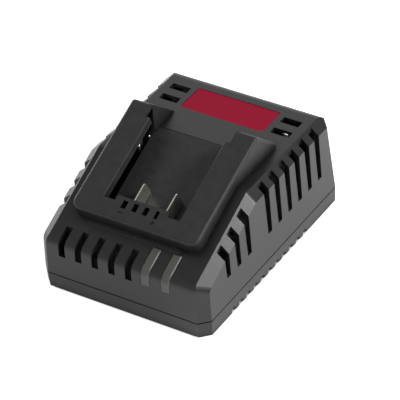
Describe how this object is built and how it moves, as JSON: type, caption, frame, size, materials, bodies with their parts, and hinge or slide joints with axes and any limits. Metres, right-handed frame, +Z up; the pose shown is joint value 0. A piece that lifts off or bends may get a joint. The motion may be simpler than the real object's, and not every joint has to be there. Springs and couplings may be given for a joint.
{
  "type": "power tool battery charger",
  "caption": "Wedge-shaped mains charger with a sloping two-rail dock for slide-on tool batteries, blade terminals, vent slots and indicator light pipes.",
  "frame": {"origin": "under the middle of the case's footprint, on the surface that the rubber feet stand on", "axes": "+X to the right seen from the low front, +Y to the back where the battery enters, +Z up"},
  "size_m": [0.11, 0.1474, 0.0789],
  "materials": {
    "base_plastic": "black, finely textured",
    "dock_plastic": "black, finely textured",
    "screw_steel": "zinc plated",
    "chip_plastic": "black epoxy",
    "capacitor_sleeve": "black sleeve",
    "choke_coating": "green coating",
    "copper_wire": "enamelled copper",
    "foot_rubber": "black",
    "fuse_body": "dark brown",
    "inlet_brass": "nickel plated",
    "label": "dark red film, blank",
    "led_green_resin": "green resin",
    "led_red_resin": "red resin",
    "light_pipe": "smoky clear moulded light pipe",
    "board": "brown laminate",
    "inlet_plastic": "black",
    "lead_black": "black insulation",
    "lead_red": "red insulation",
    "contact_metal": "nickel plated",
    "heatsink_metal": "mill finish",
    "rating_film": "silver-grey film, blank",
    "lead_white": "white insulation",
    "block_plastic": "black",
    "thermistor_coat": "dark green",
    "case_plastic": "black, finely textured",
    "bobbin_plastic": "black",
    "ferrite": "dark grey",
    "winding_tape": "yellow polyester tape",
    "film_capacitor": "yellow box",
    "ceramic_disc": "blue coating"
  },
  "bodies": {
    "root": {"base_shell": "base_plastic", "battery_dock": "dock_plastic", "block_screws": "screw_steel", "board_screws": "screw_steel", "bridge_rectifier": "chip_plastic", "bulk_capacitor": "capacitor_sleeve", "case_screws": "screw_steel", "choke_core": "choke_coating", "choke_windings": "copper_wire", "controller_chip": "chip_plastic", "dock_screws": "screw_steel", "foot_front_left": "foot_rubber", "foot_front_right": "foot_rubber", "foot_rear_left": "foot_rubber", "foot_rear_right": "foot_rubber", "fuse": "fuse_body", "heatsink_screws": "screw_steel", "inlet_pins": "inlet_brass", "label_plate": "label", "led_green": "led_green_resin", "led_red": "led_red_resin", "light_pipe_left": "light_pipe", "light_pipe_right": "light_pipe", "main_board": "board", "mains_inlet": "inlet_plastic", "microcontroller": "chip_plastic", "optocouplers": "chip_plastic", "output_capacitors": "capacitor_sleeve", "output_diode": "chip_plastic", "output_lead_negative": "lead_black", "output_lead_positive": "lead_red", "power_blade_negative": "contact_metal", "power_blade_positive": "contact_metal", "primary_heatsink": "heatsink_metal", "primary_transistor": "chip_plastic", "rating_label": "rating_film", "secondary_heatsink": "heatsink_metal", "signal_contacts": "contact_metal", "signal_leads": "lead_white", "terminal_block": "block_plastic", "thermistor": "thermistor_coat", "top_shell": "case_plastic", "transformer_bobbin": "bobbin_plastic", "transformer_core": "ferrite", "transformer_windings": "winding_tape", "x_capacitor": "film_capacitor", "y_capacitor": "ceramic_disc"}
  },
  "joints": []
}
